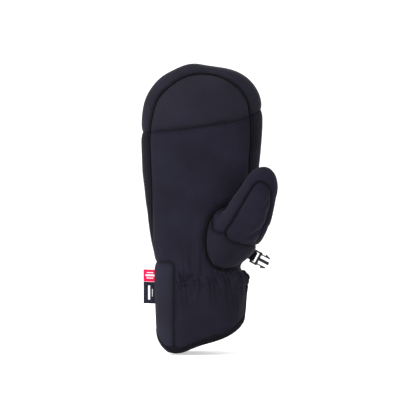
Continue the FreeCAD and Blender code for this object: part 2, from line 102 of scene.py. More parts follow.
def noise(p, scale):
    """Smooth noise between -1 and 1 at points p, with lumps about that many millimetres across."""
    q = np.asarray(p, float) / scale + 100
    i = np.floor(q).astype(int)
    f = q - i
    f = f * f * (3 - 2 * f)
    total = np.zeros(len(q))
    for dx in (0, 1):
        for dy in (0, 1):
            for dz in (0, 1):
                corner = NOISE[(i[:, 0] + dx) % 32, (i[:, 1] + dy) % 32, (i[:, 2] + dz) % 32]
                wx = f[:, 0] if dx else 1 - f[:, 0]
                wy = f[:, 1] if dy else 1 - f[:, 1]
                wz = f[:, 2] if dz else 1 - f[:, 2]
                total += corner * wx * wy * wz
    return total


def unit(v):
    """The rows of v at length 1."""
    return v / np.maximum(np.linalg.norm(v, axis=1, keepdims=True), 1e-9)


def way_along(path):
    """How far along a path each of its points is."""
    return np.concatenate([[0], np.cumsum(np.linalg.norm(np.diff(path, axis=0), axis=1))])


def search_tree(points):
    tree = KDTree(len(points))
    for n, point in enumerate(points):
        tree.insert(point, n)
    tree.balance()
    return tree


def bell(x, width):
    return np.exp(-((x / width) ** 2))


def ramp(x, low, high):
    s = np.clip((x - low) / (high - low), 0, 1)
    return s * s * (3 - 2 * s)


def segment_distance(p, a, b):
    """Distance from 2-D points to one segment, and how far along it the nearest place is."""
    a = np.array(a, float)
    d = np.array(b, float) - a
    s = np.clip(((p - a) @ d) / (d @ d), 0, 1)
    return np.linalg.norm(p - a - s[:, None] * d, axis=1), s


def inside_distance(p, outline):
    """Signed distance from 2-D points to a closed outline, negative inside."""
    best = np.full(len(p), 1e9)
    inside = np.zeros(len(p), bool)
    for a, b in zip(outline, np.roll(outline, -1, axis=0)):
        if np.allclose(a, b):
            continue
        best = np.minimum(best, segment_distance(p, a, b)[0])
        crosses = (a[1] > p[:, 1]) != (b[1] > p[:, 1])
        with np.errstate(divide="ignore", invalid="ignore"):
            where = (b[0] - a[0]) * (p[:, 1] - a[1]) / (b[1] - a[1]) + a[0]
        inside ^= crosses & (p[:, 0] < where)
    return np.where(inside, -best, best)


# -------------------- cloth surfaces


class Cloth:
    """A sheet of triangles. Each vertex carries a place, an outward direction, weave coordinates and marks."""

    def __init__(self, co, tris, data):
        self.co = co
        self.tris = tris
        self.data = data

    @classmethod
    def grid(cls, co, closed, data):
        """co has rows x columns x 3; closed joins the last column to the first."""
        rows, columns = co.shape[:2]
        index = np.arange(rows * columns).reshape(rows, columns)
        right = np.roll(index, -1, axis=1) if closed else index[:, 1:]
        left = index if closed else index[:, :-1]
        a, b = left[:-1].ravel(), right[:-1].ravel()
        c, d = right[1:].ravel(), left[1:].ravel()
        tris = np.concatenate([np.stack([a, b, c], 1), np.stack([a, c, d], 1)])
        return cls(co.reshape(-1, 3), tris, {k: v.reshape(rows * columns, -1) for k, v in data.items()})

    def normals(self):
        a, b, c = (self.co[self.tris[:, k]] for k in range(3))
        face = np.cross(b - a, c - a)
        out = np.zeros_like(self.co)
        for k in range(3):
            np.add.at(out, self.tris[:, k], face)
        return unit(out)

    def facing_out(self):
        """Turns a folded sheet so that its outward directions point away from its middle."""
        self.data["out"] = self.normals()
        if (self.data["out"] * (self.co - self.co.mean(0))).sum() < 0:
            self.data["out"] = -self.data["out"]
            self.tris = self.tris[:, ::-1]
        return self

    def split(self, field):
        """The part where field < 0 and the part where field >= 0. They meet on the same vertices."""
        field = np.where(np.abs(field) < 1e-6, 1e-6, field)
        side = field < 0
        count = side[self.tris].sum(1)
        keep_in, keep_out = self.tris[count == 3], self.tris[count == 0]
        mixed = self.tris[(count == 1) | (count == 2)]
        edges = {}
        starts, ends = [], []

        def crossing(i, j):
            key = (i, j) if i < j else (j, i)
            if key not in edges:
                edges[key] = len(self.co) + len(starts)
                starts.append(key[0])
                ends.append(key[1])
            return edges[key]

        more_in, more_out = [], []
        for tri in mixed.tolist():
            lone = sum(side[v] for v in tri) == 1
            k = next(k for k in range(3) if side[tri[k]] == lone)
            a, b, c = tri[k], tri[(k + 1) % 3], tri[(k + 2) % 3]
            ab, ac = crossing(a, b), crossing(a, c)
            one, two = (more_in, more_out) if lone else (more_out, more_in)
            one.append((a, ab, ac))
            two.append((ab, b, c))
            two.append((ab, c, ac))
        if not starts:
            return self.used(keep_in), self.used(keep_out), np.zeros((0, 3))
        s, e = np.array(starts), np.array(ends)
        share = (field[s] / (field[s] - field[e]))[:, None]
        co = np.concatenate([self.co, self.co[s] * (1 - share) + self.co[e] * share])
        data = {k: np.concatenate([v, v[s] * (1 - share) + v[e] * share]) for k, v in self.data.items()}
        whole = Cloth(co, None, data)
        cut_line = co[len(self.co):]
        tris_in = np.concatenate([keep_in, np.array(more_in, int).reshape(-1, 3)])
        tris_out = np.concatenate([keep_out, np.array(more_out, int).reshape(-1, 3)])
        return whole.used(tris_in), whole.used(tris_out), cut_line

    def used(self, tris):
        """Only the vertices that these triangles use."""
        keep, flat = np.unique(tris.ravel(), return_inverse=True)
        return Cloth(self.co[keep], flat.reshape(-1, 3), {k: v[keep] for k, v in self.data.items()})

    def solid(self, thickness):
        """Places and triangles of the sheet made a closed solid, thickened against the outward direction."""
        count = len(self.co)
        inner = self.co - self.data["out"] * thickness
        directed = np.concatenate([self.tris[:, [0, 1]], self.tris[:, [1, 2]], self.tris[:, [2, 0]]])
        edges = np.sort(directed, axis=1)
        _, first, number = np.unique(edges, axis=0, return_index=True, return_counts=True)
        rim = directed[first[number == 1]]
        a, b = rim[:, 0], rim[:, 1]
        walls = np.concatenate([np.stack([b, a, a + count], 1), np.stack([b, a + count, b + count], 1)])
        tris = np.concatenate([self.tris, self.tris[:, ::-1] + count, walls])
        return np.concatenate([self.co, inner]), tris


def wrapped(co, angle, **marks):
    """A closed sheet from rows of rings, its weave measured round the rings and along them."""
    columns = len(angle)
    steps = np.linalg.norm(np.roll(co, -1, axis=1) - co, axis=2)
    around = np.cumsum(steps, axis=1) - steps
    around = around - around[:, columns * 3 // 4][:, None]
    climbs = np.linalg.norm(np.diff(co, axis=0), axis=2).mean(1)
    along = np.concatenate([[0], np.cumsum(climbs)])[:, None] * np.ones((1, columns))
    weave = np.stack([around, along], -1)
    angles = np.broadcast_to(angle[None, :], around.shape)
    cloth = Cloth.grid(co, True, {"weave": weave, "angle": angles, "rest": co, **marks})
    cloth.data["out"] = cloth.normals()
    return cloth


def mesh_object(name, co, faces, weave=None, seam=None):
    """A smooth-shaded mesh in metres. weave gives each vertex its place on the cloth, in millimetres, and
    seam how close it is to a seam, from 0 to 1, which the fabric paints as shade along the seam."""
    mesh = bpy.data.meshes.new(name)
    mesh.from_pydata((np.asarray(co) * MM).tolist(), [], [[int(v) for v in face] for face in faces])
    mesh.polygons.foreach_set("use_smooth", [True] * len(mesh.polygons))
    if weave is not None:
        layer = mesh.uv_layers.new(name="cloth")
        loops = np.zeros(len(mesh.loops), int)
        mesh.loops.foreach_get("vertex_index", loops)
        layer.data.foreach_set("uv", (np.asarray(weave)[loops] * MM).ravel().astype(np.float32))
    # The seam attribute carries painted shade: the fabric's colour darkens along each seam.
    if seam is not None:
        seam_shade = mesh.attributes.new("seam", "FLOAT", "POINT")
        seam_shade.data.foreach_set("value", np.asarray(seam, np.float32).ravel())
    mesh.validate()
    made = bpy.data.objects.new(name, mesh)
    bpy.context.scene.collection.objects.link(made)
    return made


def dress(piece, material):
    piece.data.materials.append(material)
    return piece


def sewn_piece(name, cloth, thickness, material):
    """A cloth panel as a closed solid with its material."""
    co, tris = cloth.solid(thickness)
    weave = np.concatenate([cloth.data["weave"], cloth.data["weave"]])
    # The seam mark passes on the painted shade along the seams.
    seam = np.concatenate([cloth.data["seam"]] * 2) if "seam" in cloth.data else None
    return dress(mesh_object(name, co, tris, weave, seam), material)


# -------------------- materials


def tint(r, g, b):
    """An 8-bit screen colour as the linear colour that shaders use."""
    linear = [((v / 255 + 0.055) / 1.055) ** 2.4 if v > 10 else v / 255 / 12.92 for v in (r, g, b)]
    return linear + [1]


def shader(name, roughness, sheen=0.0, specular=0.3):
    material = bpy.data.materials.new(name)
    material.use_nodes = True
    tree = material.node_tree
    main = tree.nodes["Principled BSDF"]
    main.inputs["Roughness"].default_value = roughness
    main.inputs["Sheen Weight"].default_value = sheen
    main.inputs["Sheen Roughness"].default_value = 0.5
    main.inputs["Specular IOR Level"].default_value = specular
    return material, tree, main


def math_node(tree, kind, a, b=None):
    made = tree.nodes.new("ShaderNodeMath")
    made.operation = kind
    for socket, value in zip(made.inputs, (a, b)):
        if value is None:
            continue
        if isinstance(value, (int, float)):
            socket.default_value = value
        else:
            tree.links.new(value, socket)
    return made.outputs[0]


def noise_node(tree, vector, scale, detail=2.0):
    made = tree.nodes.new("ShaderNodeTexNoise")
    made.inputs["Scale"].default_value = scale
    made.inputs["Detail"].default_value = detail
    tree.links.new(vector, made.inputs["Vector"])
    return made.outputs["Fac"]


def colour_between(tree, main, factor, low, high):
    """Colours the surface by factor. low and high are each a value of factor and the colour there."""
    shade = tree.nodes.new("ShaderNodeValToRGB")
    for element, (position, colour) in zip(shade.color_ramp.elements, (low, high)):
        element.position = position
        element.color = colour
    tree.links.new(factor, shade.inputs[0])
    tree.links.new(shade.outputs[0], main.inputs["Base Color"])


def roughen(tree, main, height, strength, distance):
    relief = tree.nodes.new("ShaderNodeBump")
    relief.inputs["Strength"].default_value = strength
    relief.inputs["Distance"].default_value = distance
    tree.links.new(height, relief.inputs["Height"])
    tree.links.new(relief.outputs[0], main.inputs["Normal"])


def fabric(name, dark, light, pitch=1.3, twill=1.0, sheen=0.02, roughness=0.88, bump=0.35, mottle=0.5,
           depth=0.4):
    """Woven cloth: diagonal twill ribs crossed by weft threads, a fine heather, broad uneven dyeing and painted
    shade along the seams.
    pitch is the ribs' spacing in millimetres and depth darkens both colours."""
    material, tree, main = shader(name, roughness, sheen, 0.08)

    def add(a, b):
        return math_node(tree, "ADD", a, b)

    def times(a, b):
        return math_node(tree, "MULTIPLY", a, b)

    def wave(a):
        return times(add(math_node(tree, "SINE", a), 1.0), 0.5)

    place = tree.nodes.new("ShaderNodeUVMap")
    place.uv_map = "cloth"
    split = tree.nodes.new("ShaderNodeSeparateXYZ")
    tree.links.new(place.outputs[0], split.inputs[0])
    u, v = split.outputs[0], split.outputs[1]
    turns = 2 * math.pi / (pitch * MM)
    ribs = wave(add(times(u, turns), times(v, turns * twill)))
    weft = wave(times(v, turns * 1.9))
    threads = add(times(ribs, 0.65), times(weft, 0.35))
    heather = noise_node(tree, place.outputs[0], 620, 3.0)
    cloud = noise_node(tree, place.outputs[0], 26)
    mix = add(times(threads, 0.45), times(heather, mottle))
    mix = add(mix, times(math_node(tree, "SUBTRACT", cloud, 0.5), 0.7))
    # Painted shade: the colour darkens near the seams, standing in for the shade in their grooves.
    seam_shade = tree.nodes.new("ShaderNodeAttribute")
    seam_shade.attribute_name = "seam"
    mix = math_node(tree, "SUBTRACT", mix, times(seam_shade.outputs["Fac"], 0.75))
    low, high = ([v * depth for v in tint(*colour)[:3]] + [1] for colour in (dark, light))
    colour_between(tree, main, mix, (0.12, low), (0.85, high))
    roughen(tree, main, add(threads, times(heather, 0.8)), bump, 0.00025)
    return material


def moulded(name, dark, light):
    """Moulded plastic with a fine spark-eroded grain."""
    material, tree, main = shader(name, 0.5, 0.0, 0.22)
    place = tree.nodes.new("ShaderNodeTexCoord")
    grain = noise_node(tree, place.outputs["Object"], 2400)
    wear = noise_node(tree, place.outputs["Object"], 260)
    colour_between(tree, main, wear, (0.35, tint(*dark)), (0.75, tint(*light)))
    roughen(tree, main, grain, 0.25, 0.0001)
    return material


SATIN = {"pitch": 0.6, "mottle": 0.3, "depth": 1.0}
PALM = fabric("palm_twill", (25, 24, 36), (50, 49, 68))
SMOOTH = fabric("coated_weave", (33, 32, 46), (56, 55, 74), pitch=0.9, twill=0.0, roughness=0.7,
                bump=0.2, mottle=0.35, depth=0.34)
SIDE = fabric("side_weave", (21, 19, 30), (43, 41, 57), pitch=1.1, twill=0.5)
CUFF = fabric("cuff_weave", (24, 22, 34), (48, 46, 63), pitch=1.1, twill=0.5)
CUFF_SIDE = fabric("cuff_side_weave", (30, 29, 42), (58, 57, 76), pitch=1.1, twill=0.5)
THUMB = fabric("thumb_twill", (25, 23, 36), (51, 48, 68))
GUSSET = fabric("gusset_twill", (23, 22, 33), (48, 46, 63))
TAPE = fabric("binding_tape", (12, 11, 17), (26, 24, 34), pitch=1.0, twill=0.0, bump=0.5)
CORD = fabric("seam_cord", (10, 9, 14), (22, 21, 30), pitch=1.0)
THREAD = fabric("thread", (26, 25, 37), (48, 47, 64), pitch=0.5, bump=0.5)
FLEECE = fabric("lining_fleece", (18, 18, 24), (46, 46, 56), pitch=2.2, twill=0.3, sheen=0.6,
                roughness=0.95, mottle=1.0)
RIB = fabric("ribbed_elastic", (14, 13, 19), (34, 33, 42), pitch=1.6, twill=0.0, bump=0.8)
WEBBING = fabric("webbing", (11, 10, 16), (30, 29, 38), pitch=1.4, twill=1.0, bump=0.8)
LABEL_RED = fabric("label_red_satin", (214, 0, 62), (240, 16, 84), sheen=0.1, roughness=0.5, **SATIN)
LABEL_DARK = fabric("label_dark_satin", (14, 14, 24), (34, 34, 52), sheen=0.1, roughness=0.5, **SATIN)
LABEL_WHITE = fabric("label_white_thread", (206, 206, 214), (244, 244, 248), roughness=0.6, **SATIN)
PLASTIC = moulded("clip_plastic", (17, 16, 24), (30, 29, 40))

# -------------------- the hand's shape

TIP_BASE = 235.0
TIP_RISE = 63.5
SECTION = 2.25  # bluntness of each level section
LEFT = spline(
    [-12, 8, 25, 45, 60, 72, 82, 92, 102, 114, 135, 156, 177, 198, 219, 235],
    [44.5, 45.2, 46.0, 46.8, 47.5, 48.0, 48.0, 48.2, 49.2, 52.3, 55.4, 58.0, 60.2, 61.8, 62.7, 62.6],
)
RIGHT = spline(
    [-12, 20, 33, 46, 60, 72, 79, 84, 88, 93, 100, 115, 135, 156, 177, 198, 219, 235],
    [43.5, 44.0, 45.0, 46.4, 47.2, 47.4, 46.4, 43.4, 41.6, 43.2, 46.4, 51.0, 54.5, 57.0, 59.0, 61.2, 63.2, 64.0],
)
DEPTH_HEIGHTS = [-12, 20, 45, 62, 76, 92, 120, 150, 185, 215, 235]
FRONT = spline(DEPTH_HEIGHTS, [34, 34.3, 33.8, 31.5, 29.2, 30.6, 32.4, 33, 32, 30, 28.3])
BACK = spline(DEPTH_HEIGHTS, [35, 35, 34.4, 32.2, 30.4, 31.6, 33.4, 34, 33.2, 31, 29])


def hand_point(angle, height, lift=0.0):
    """Points on the hand's skin. Angle 0 faces the thumb side, 90 degrees the back and 270 the palm.
    Heights over 1000 stand for the domed tip: 1000 plus a share of its rise."""
    angle, height = np.broadcast_arrays(np.asarray(angle, float), np.asarray(height, float))
    share = np.clip(height - 1000, 0, 1)
    domed = height >= 1000
    z = np.where(domed, TIP_BASE, height)
    c, s = np.cos(angle), np.sin(angle)
    across = np.where(c > 0, RIGHT(z), LEFT(z)) + lift
    through = np.where(s > 0, BACK(z), FRONT(z)) + lift
    blunt = np.where(c > 0, 2.85, 2.5)
    across = across * (1 - share**blunt) ** (1 / blunt)
    through = through * (1 - share**2.2) ** (1 / 2.2)
    x = np.sign(c) * across * np.abs(c) ** (2 / SECTION)
    y = np.sign(s) * through * np.abs(s) ** (2 / SECTION)
    z = np.where(domed, TIP_BASE + (TIP_RISE + lift) * share, z)
    z = z + 3.2 * share**3 * bell(x + 9, 16)
    return np.stack([x, y, z], -1)


def hand_cloth(columns, rows_low, rows_tip, lift=0.0, bottom=-9.0):
    """The whole skin of the hand from below the hem to the fingertips."""
    angle = np.linspace(0, 2 * math.pi, columns, endpoint=False)
    low = np.linspace(bottom, TIP_BASE, rows_low, endpoint=False)
    tip = 1000 + np.sin(np.linspace(0, 0.4999 * math.pi, rows_tip))
    height = np.concatenate([low, tip])
    return wrapped(hand_point(angle[None, :], height[:, None], lift), angle)


PALM_LINE = smooth_path(
    [
        (-52.3, 60), (-52.4, 110), (-52.8, 160), (-54.0, 200), (-54.8, 226), (-53.0, 243), (-48.6, 260),
        (-41.5, 271.5), (-30.0, 281.5), (-16.8, 288.9), (-1.0, 292.0), (17.3, 289.6), (33.0, 282.0),
        (43.2, 272.6),
        (49.6, 260.0), (52.6, 243), (53.2, 220), (51.8, 200), (51.6, 180), (53.5, 160), (56.5, 140),
        (60, 118), (64, 60),
    ]
)
PALM_OUTLINE = np.concatenate([PALM_LINE, [(64, -60), (-52.3, -60)]])
BACK_OUTLINE = np.concatenate(
    [
        smooth_path(
            [
                (-56.5, 96), (-57.0, 160), (-57.5, 225), (-54.0, 253), (-42.0, 275), (-22.0, 289), (0.0, 293),
                (20.0, 290), (40.0, 277.5), (53.5, 255), (57.8, 225), (57.0, 180), (55.0, 140), (58.0, 96),
            ]
        ),
        [(58, -60), (-56.5, -60)],
    ]
)
TIP_SEAM = spline([-80, -54, -20, 17, 50, 62, 80], [231, 231.2, 233.8, 239.4, 246.9, 254, 257])
HEM_LINE = spline(
    [-60, -47.5, -46.2, -44.2, -41.3, -35.5, -28.5, -19, -11, 0.7, 12.4, 24, 34, 41, 44.5, 60],
    [27, 23, 19.5, 14.0, 8.9, 3.4, 1.5, 2.4, 5.6, 10.0, 13.3, 17.2, 22.4, 28.2, 32.5, 41],
)
BINDING_WIDTH = 6.2
SLIT_BINDING_WIDTH = 3.6
SLIT_TOP = 82.0
SLIT_EDGE = spline([-20, 20, 50, 70, 82], [6.5, 6.0, 4.6, 2.8, 0.6])
CUFF_SIDE_X = -28.0
CUFF_SIDE_TOP = 95.0
CUFF_SIDE_ROUND = 6.0
CUFF_SEAM = 68.5

skin = hand_cloth(300, 225, 60)
rest = skin.data["rest"]

# -------------------- the thumb's shape

THUMB_ROOT = np.array([24.0, -18.0, 98.0])
LEAN_OUT, LEAN_FORWARD = math.radians(24.8), math.radians(21.5)


def turned(v):
    """A direction in the thumb's own frame as a direction of the mitten."""
    x, y, z = v
    c, s = math.cos(LEAN_FORWARD), math.sin(LEAN_FORWARD)
    y, z = y * c - z * s, y * s + z * c
    c, s = math.cos(LEAN_OUT), math.sin(LEAN_OUT)
    x, z = x * c + z * s, -x * s + z * c
    return np.array([x, y, z])


THUMB_X, THUMB_Y, THUMB_Z = (turned(v) for v in ((1, 0, 0), (0, 1, 0), (0, 0, 1)))
THUMB_DOME, THUMB_END, THUMB_START = 87.0, 112.4, 57.0
THUMB_SIDE = spline([40, 52, 64, 75, 88, 101, 107, 114], [3.6, 3.6, 4.0, 3.8, 3.4, 2.3, 1.9, 1.0])
THUMB_HALF = spline([40, 52, 64, 75, 88], [24.4, 23.7, 21.9, 19.9, 17.3])
THUMB_DEEP = spline([40, 52, 64, 75, 88], [18.0, 17.8, 17.0, 16.2, 15.0])


def thumb_ring(angle, reach, lift=0.0):
    """Points round the thumb, that far along it. Angle 0 is its outer side and 90 degrees faces the palm."""
    reach = np.asarray(reach, float)
    share = np.clip((reach - THUMB_DOME) / (THUMB_END - THUMB_DOME), 0, 1)
    shrink = (1 - share**1.9) ** (1 / 1.9)
    half = (THUMB_HALF(np.minimum(reach, THUMB_DOME)) + lift) * shrink
    deep = (THUMB_DEEP(np.minimum(reach, THUMB_DOME)) + lift) * shrink
    c, s = np.cos(angle), np.sin(angle)
    u = THUMB_SIDE(reach) + half * np.sign(c) * np.abs(c) ** (2 / 2.15)
    w = deep * np.sign(s) * np.abs(s) ** (2 / 2.15)
    along = reach + lift * share
    return THUMB_ROOT + u[..., None] * THUMB_X + w[..., None] * THUMB_Y + along[..., None] * THUMB_Z


def on_hand(x, z):
    """The hand's angle at a place on the palm side."""
    half = RIGHT(z) if x > 0 else LEFT(z)
    c = min(abs(x) / float(half), 0.999) ** (SECTION / 2) * (1 if x > 0 else -1)
    return -math.acos(c)


ROOT_SEAM = [
    # thumb angle, then the place where the gusset is sewn to the hand: palm x or None, hand angle, height
    (0, None, 5, 103.0),
    (20, None, 3, 119.0),
    (40, None, -6, 136.0),
    (62, 49.0, None, 149.0),
    (85, 40.0, None, 154.5),
    (108, 29.0, None, 155.0),
    (128, 19.0, None, 151.5),
    (145, 11.5, None, 145.5),
    (163, 6.6, None, 135.0),
    (180, 4.2, None, 119.0),
    (197, 5.4, None, 104.5),
    (215, 10.0, None, 94.0),
    (238, 17.5, None, 88.8),
    (268, 27.6, None, 87.4),
    (296, 37.5, None, 90.0),
    (322, None, -13, 94.5),
    (342, None, 2, 97.5),
]


def root_seam_points(angles, lift=0.0):
    knots, hand_angles, heights = [], [], []
    for degrees, x, hand_degrees, z in ROOT_SEAM:
        knots.append(math.radians(degrees))
        hand_angles.append(on_hand(x, z) if x is not None else math.radians(hand_degrees))
        heights.append(z)
    full = 2 * math.pi
    knots = [k - full for k in knots] + knots + [k + full for k in knots]
    angle_at = spline(knots, hand_angles * 3)
    height_at = spline(knots, heights * 3)
    return hand_point(angle_at(angles), height_at(angles), lift)


def thumb_cloth(columns, rows_root, rows_tip, lift=0.0):
    angle = np.linspace(0, 2 * math.pi, columns, endpoint=False)
    seam = root_seam_points(angle, lift - 0.3)
    ring = thumb_ring(angle, np.full(columns, THUMB_START), lift)
    gap = np.linalg.norm(ring - seam, axis=1, keepdims=True)
    away = seam - np.array([6.0, 0, 0])
    away[:, 2] = 0
    away = unit(away)
    ahead = (ring - seam) / gap
    leave = (0.45 * away + 0.6 * ahead + 0.1 * THUMB_Z) * gap
    arrive = THUMB_Z * gap * 0.95
    rows = []
    for s in np.linspace(0, 1, rows_root, endpoint=False):
        rows.append(hermite(s, seam, leave, ring, arrive))
    straight = np.linspace(THUMB_START, THUMB_DOME, max(rows_tip // 2, 2), endpoint=False)
    dome = THUMB_DOME + (THUMB_END - THUMB_DOME) * np.sin(np.linspace(0, 0.4999 * math.pi, rows_tip))
    for reach in np.concatenate([straight, dome]):
        rows.append(thumb_ring(angle, np.full(columns, reach), lift))
    co = np.array(rows)
    share = np.broadcast_to(np.linspace(0, 1, len(rows))[:, None], co.shape[:2])
    return wrapped(co, angle, share=share)


thumb = thumb_cloth(190, 62, 44)

# -------------------- cutting the panels

FAR = 1e3
HAND_HALF_WIDTH, HAND_HALF_DEPTH, UNROLL_RADIUS = 52, 31, 50
GUSSET_BACK_RISE = 24  # how much higher the gusset reaches on the thumb's palm-facing side
seams = {}


def flat(cloth):
    return cloth.data["rest"][:, [0, 2]]


def palm_field(cloth):
    """Negative on the palm side of the seam that rims the palm."""
    inside = inside_distance(flat(cloth), PALM_OUTLINE)
    return np.where(cloth.data["rest"][:, 1] < -0.01, inside, FAR)


def back_field(cloth):
    inside = inside_distance(flat(cloth), BACK_OUTLINE)
    return np.where(cloth.data["rest"][:, 1] > 0.01, inside, FAR)


def tip_field(cloth):
    """Negative above the seam across the fingertips."""
    return TIP_SEAM(cloth.data["rest"][:, 0]) - cloth.data["rest"][:, 2]


def root_outline():
    """The gusset's seam seen flat on the palm, for cutting the hole that the thumb grows from."""
    angles = np.linspace(0, 2 * math.pi, 180, endpoint=False)
    return root_seam_points(angles)


def cut_thumb_hole(cloth):
    """Drops the skin inside the gusset's seam, by hand angle and height so that the cut can wrap the side."""

    def unrolled(places):
        angle = np.arctan2(places[:, 1] / HAND_HALF_DEPTH, places[:, 0] / HAND_HALF_WIDTH)
        return np.stack([angle * UNROLL_RADIUS, places[:, 2]], 1)

    field = inside_distance(unrolled(cloth.data["rest"]), unrolled(root_outline()))
    _, outside, line = cloth.split(field)
    return outside, line


hem = HEM_LINE(rest[:, 0])
_, skin_hemmed, seams["hem"] = skin.split(rest[:, 2] - hem)
r = skin_hemmed.data["rest"]
slit = np.where((r[:, 0] > 0) & (r[:, 2] < SLIT_TOP + 6), np.abs(r[:, 1]) - SLIT_EDGE(r[:, 2]), FAR)
slit = np.maximum(slit, r[:, 2] - SLIT_TOP)
slit = np.where(r[:, 0] > 0, slit, FAR)
_, body, seams["slit"] = skin_hemmed.split(slit)
body, seams["root"] = cut_thumb_hole(body)

panels = {}
r = body.data["rest"]
cuff_side = np.maximum(r[:, 0] - CUFF_SIDE_X, r[:, 2] - CUFF_SIDE_TOP)
past_x = r[:, 0] - (CUFF_SIDE_X - CUFF_SIDE_ROUND)
past_z = r[:, 2] - (CUFF_SIDE_TOP - CUFF_SIDE_ROUND)
corner = np.hypot(np.maximum(past_x, 0), np.maximum(past_z, 0)) - CUFF_SIDE_ROUND
cuff_side = np.where((past_x > 0) & (past_z > 0), corner, cuff_side)
panels["cuff_side_panel"], body, seams["cuff_side"] = body.split(cuff_side)
cuff, body, seams["cuff"] = body.split(body.data["rest"][:, 2] - CUFF_SEAM)
panels["cuff_palm_panel"], panels["cuff_back_panel"], _ = cuff.split(cuff.data["rest"][:, 1])
palm, body, seams["palm"] = body.split(palm_field(body))
panels["fingertip_patch"], panels["palm_panel"], seams["tip"] = palm.split(tip_field(palm))
panels["back_panel"], body, seams["back"] = body.split(back_field(body))
panels["finger_cap"], body, seams["cap"] = body.split(tip_field(body))
panels["pinky_sidewall"], panels["index_sidewall"], _ = body.split(body.data["rest"][:, 0])

GUSSET_LINE = spline(
    [-10, 7, 9.5, 11, 14.7, 20, 24.7, 27, 30.5, 37.8, 46, 56.7, 80],
    [175, 158, 146, 135, 128, 126, 124.8, 121, 118, 115, 112.9, 111.8, 111],
)
THUMB_FRONT = smooth_path(
    [
        (24.7, 125.5), (33, 139.5), (41.5, 153.8), (48.3, 166), (54.4, 175), (58.8, 178.3), (63.6, 178.2),
        (69, 174.4), (72.4, 167.5), (72.9, 157), (71.2, 146), (68.2, 136), (63.5, 126), (59.5, 117), (57, 108),
        (40, 100), (28, 108),
    ],
    closed=True,
)
r = thumb.data["rest"]
turn = np.sin(thumb.data["angle"][:, 0])
gusset = r[:, 2] - GUSSET_LINE(r[:, 0]) - GUSSET_BACK_RISE * np.maximum(turn, 0)
panels["thumb_gusset"], thumb_rest, seams["gusset"] = thumb.split(gusset)
facing = np.sin(thumb_rest.data["angle"][:, 0]) < 0.0
front = np.where(facing, inside_distance(flat(thumb_rest), THUMB_FRONT), FAR)
panels["thumb_pad_panel"], panels["thumb_back_panel"], seams["thumb_front"] = thumb_rest.split(front)

# -------------------- folds and seams

GATHER_HEIGHT = 76.0
SEAM_DEPTH = {"palm": 1.5, "back": 1.2, "tip": 0.7, "cap": 0.7, "cuff_side": 1.0, "cuff": 0.2, "root": 1.5,
              "gusset": 1.5, "thumb_front": 1.6, "hem": 0.0, "slit": 0.0}
SEAM_TREES = {seam_name: search_tree(line) for seam_name, line in seams.items()}


def seam_distance(cloth, seam_name):
    tree = SEAM_TREES[seam_name]
    return np.array([tree.find(p)[2] for p in cloth.data["rest"].tolist()])


def crease(place, start, end, width, depth):
    """A valley along a line on the palm side, fading towards both ends."""
    away, along = segment_distance(place[:, [0, 2]], start, end)
    return -depth * bell(away, width) * np.sin(math.pi * np.clip(along, 0.04, 0.96)) ** 0.5


def pleats(around, height, length, lean, sharp):
    """Gathers: narrow valleys between round puffs, that many millimetres apart."""
    phase = around / length + lean * height
    wander = 0.35 * np.sin(around * 0.41 + 1.3) + 0.3 * np.sin(around * 0.173 + height * 0.05)
    return np.abs(np.sin(math.pi * (phase + wander))) ** sharp


def hand_relief(cloth):
    """How far each place of the hand's skin stands out from the plain form."""
    place = cloth.data["rest"]
    around = cloth.data["weave"][:, 0]
    z = place[:, 2]
    back_edge = (place[:, 1] > 0) * ramp(-place[:, 0], 60, 61)
    gathered = ramp(place[:, 0], CUFF_SIDE_X - 1, CUFF_SIDE_X + 5) + back_edge
    band = bell(z - GATHER_HEIGHT, 6.6) * gathered
    lift = band * (3.3 * pleats(around, z, 6.6, 0.055, 0.75) - 2.0)
    lift += band * 0.5 * pleats(around + 40, z, 4.1, -0.11, 0.8)
    for row in (70.5, 75.8, 81.0):
        lift -= 0.7 * bell(z - row, 0.8) * gathered
    spread = np.exp(-np.abs(z - GATHER_HEIGHT) / 15.0) * (1 - bell(z - GATHER_HEIGHT, 5.0)) * gathered
    lift += spread * 2.6 * (pleats(around, z, 13.0, 0.01, 1.0) - 0.55)
    lift += 0.9 * noise(place, 55) + 0.35 * noise(place, 19)
    long_folds = noise(np.stack([place[:, 0] * 3.2, place[:, 1] * 2, z * 0.5], 1), 30)
    lift += 0.9 * long_folds * ramp(z, 84, 96) * (1 - ramp(z, 118, 165))
    lift += 0.5 * long_folds * (1 - ramp(z, 52, 66)) * ramp(z, 5, 25) * (place[:, 0] > CUFF_SIDE_X)
    front = place[:, 1] < 0
    for start, end, width, depth in (
        ((-1.8, 70), (-2.5, 46), 1.6, 1.1),
        ((0.6, 84), (1.2, 112), 1.8, 1.0),
        ((-9.0, 84), (-12.0, 104), 2.2, 0.7),
        ((12.0, 84), (9.0, 93), 1.6, 0.8),
        ((-20.0, 66), (-26.0, 58), 2.0, 0.6),
        ((30.0, 66), (36.0, 58), 2.4, 0.7),
        ((20.0, 66), (16.0, 57), 2.0, 0.5),
        ((37.0, 90), (43.0, 84), 1.8, 1.4),
        ((20.0, 196), (33.0, 225), 6.0, 0.7),
        ((26.0, 165), (30.0, 205), 8.0, 0.9),
    ):
        lift += crease(place, start, end, width, depth) * front
    lift += 1.6 * bell(z - 79, 4.5) * bell(place[:, 1], 9) * (place[:, 0] > 0)
    return lift


